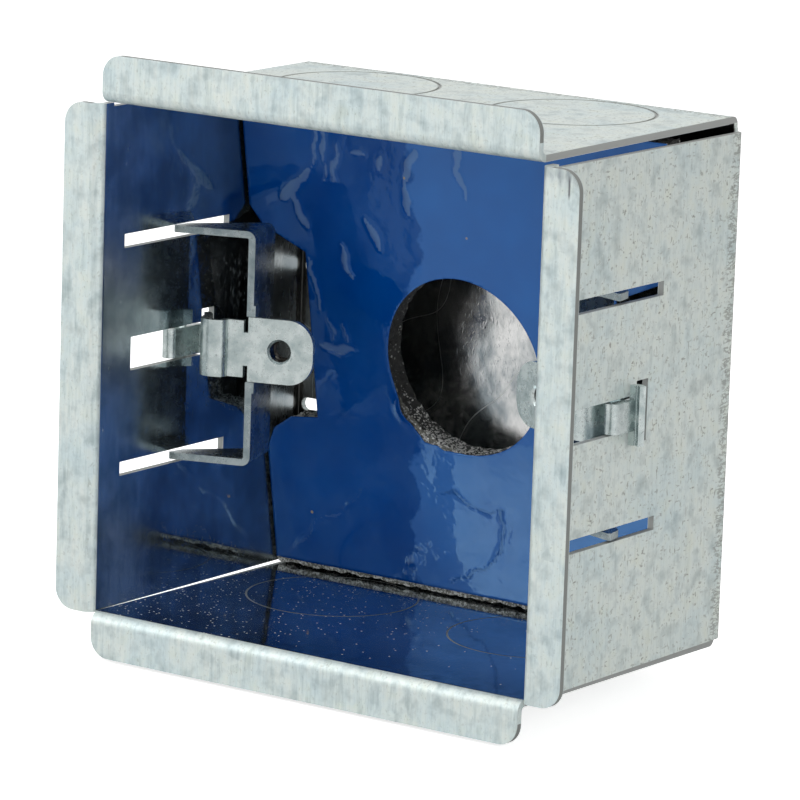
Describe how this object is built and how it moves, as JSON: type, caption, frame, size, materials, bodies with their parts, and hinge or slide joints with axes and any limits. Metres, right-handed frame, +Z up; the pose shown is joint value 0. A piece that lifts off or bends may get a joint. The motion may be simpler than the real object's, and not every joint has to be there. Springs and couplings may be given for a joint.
{
  "type": "drywall back box",
  "caption": "Steel back box for a hollow wall, with a fire liner pad inside and sliding clips that clamp the board and carry the fixing screws of the faceplate.",
  "frame": {"origin": "middle of the opening, in the plane of the front of the flanges", "axes": "+Z up, +X to the right as seen from in front, +Y into the wall; the opening faces -Y"},
  "size_m": [0.0856, 0.0492, 0.0855],
  "materials": {
    "zinc_sheet": "galvanised, mottled",
    "liner": "granular, graphite black",
    "film": "glossy, wrinkled",
    "clip_zinc": "bright zinc plate",
    "lug_zinc": "bright zinc plate"
  },
  "bodies": {
    "box": {"box_body": "zinc_sheet", "liner_pad": "liner", "liner_film": "film"},
    "right_clip": {"clip_bracket_right": "clip_zinc", "lug_strip_right": "lug_zinc"},
    "left_clip": {"clip_bracket_left": "clip_zinc", "lug_strip_left": "lug_zinc"}
  },
  "joints": [
    {"name": "right_clip_slide", "type": "slide", "parent": "box", "child": "right_clip", "axis": [0, -1, 0], "range_m": [0, 0.009]},
    {"name": "left_clip_slide", "type": "slide", "parent": "box", "child": "left_clip", "axis": [0, -1, 0], "range_m": [0, 0.009]}
  ]
}
